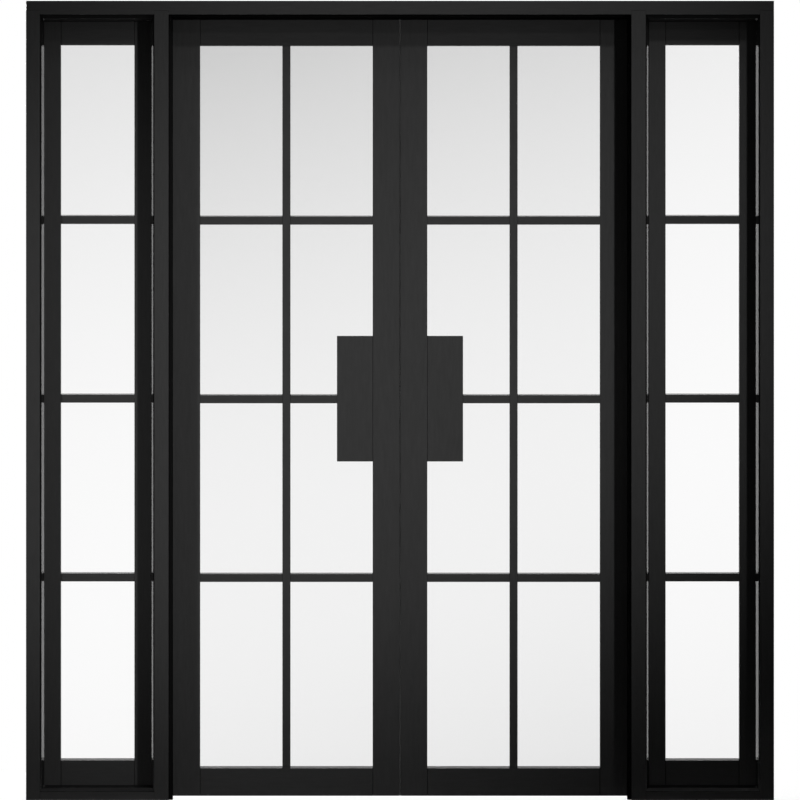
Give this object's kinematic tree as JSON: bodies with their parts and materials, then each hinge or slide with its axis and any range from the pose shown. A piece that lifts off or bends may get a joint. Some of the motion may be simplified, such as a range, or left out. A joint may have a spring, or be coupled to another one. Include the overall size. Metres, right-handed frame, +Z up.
{
  "type": "interior double door",
  "caption": "Black painted glazed interior double door with fixed glazed side panels, hung on butt hinges in one timber frame with bare lock blocks.",
  "frame": {"origin": "on the floor, in the middle of the width and of the depth over the hinge barrels", "axes": "+X to the right seen from the stop side, +Y towards the hinge side, +Z up"},
  "size_m": [1.9, 0.12, 2.031],
  "materials": {
    "frame_timber": "satin black paint",
    "door_timber": "satin black paint",
    "glass": "clear float glass",
    "hinge_steel": "black",
    "screw_steel": "blackened"
  },
  "bodies": {
    "frame": {"head": "frame_timber", "head_door_stop": "frame_timber", "hinge_pins": "hinge_steel", "frame_screws": "screw_steel", "left_jamb": "frame_timber", "left_mullion": "frame_timber", "left_sill": "frame_timber", "left_door_stop": "frame_timber", "left_panel_stops": "frame_timber", "left_panel_outer_stile": "door_timber", "left_panel_inner_stile": "door_timber", "left_panel_top_rail": "door_timber", "left_panel_bottom_rail": "door_timber", "left_panel_bars": "door_timber", "left_panel_panes": "glass", "left_panel_beads": "door_timber", "left_top_frame_plate": "hinge_steel", "left_middle_frame_plate": "hinge_steel", "left_bottom_frame_plate": "hinge_steel", "right_jamb": "frame_timber", "right_mullion": "frame_timber", "right_sill": "frame_timber", "right_door_stop": "frame_timber", "right_panel_stops": "frame_timber", "right_panel_outer_stile": "door_timber", "right_panel_inner_stile": "door_timber", "right_panel_top_rail": "door_timber", "right_panel_bottom_rail": "door_timber", "right_panel_bars": "door_timber", "right_panel_panes": "glass", "right_panel_beads": "door_timber", "right_top_frame_plate": "hinge_steel", "right_middle_frame_plate": "hinge_steel", "right_bottom_frame_plate": "hinge_steel"},
    "left_leaf": {"left_hinge_stile": "door_timber", "left_meeting_stile": "door_timber", "left_top_rail": "door_timber", "left_bottom_rail": "door_timber", "left_lock_block": "door_timber", "left_vertical_bar": "door_timber", "left_cross_bars": "door_timber", "left_leaf_panes": "glass", "left_leaf_beads": "door_timber", "left_leaf_screws": "screw_steel", "left_top_door_plate": "hinge_steel", "left_middle_door_plate": "hinge_steel", "left_bottom_door_plate": "hinge_steel"},
    "right_leaf": {"right_hinge_stile": "door_timber", "right_meeting_stile": "door_timber", "right_top_rail": "door_timber", "right_bottom_rail": "door_timber", "right_lock_block": "door_timber", "right_vertical_bar": "door_timber", "right_cross_bars": "door_timber", "right_leaf_panes": "glass", "right_leaf_beads": "door_timber", "right_leaf_screws": "screw_steel", "right_top_door_plate": "hinge_steel", "right_middle_door_plate": "hinge_steel", "right_bottom_door_plate": "hinge_steel"}
  },
  "joints": [
    {"name": "left_leaf_swing", "type": "hinge", "parent": "frame", "child": "left_leaf", "pos_m": [-0.5865, 0.0545, 1.0155], "axis": [0, 0, 1], "range_deg": [0, 170]},
    {"name": "right_leaf_swing", "type": "hinge", "parent": "frame", "child": "right_leaf", "pos_m": [0.5865, 0.0545, 1.0155], "axis": [0, 0, -1], "range_deg": [0, 170]}
  ]
}
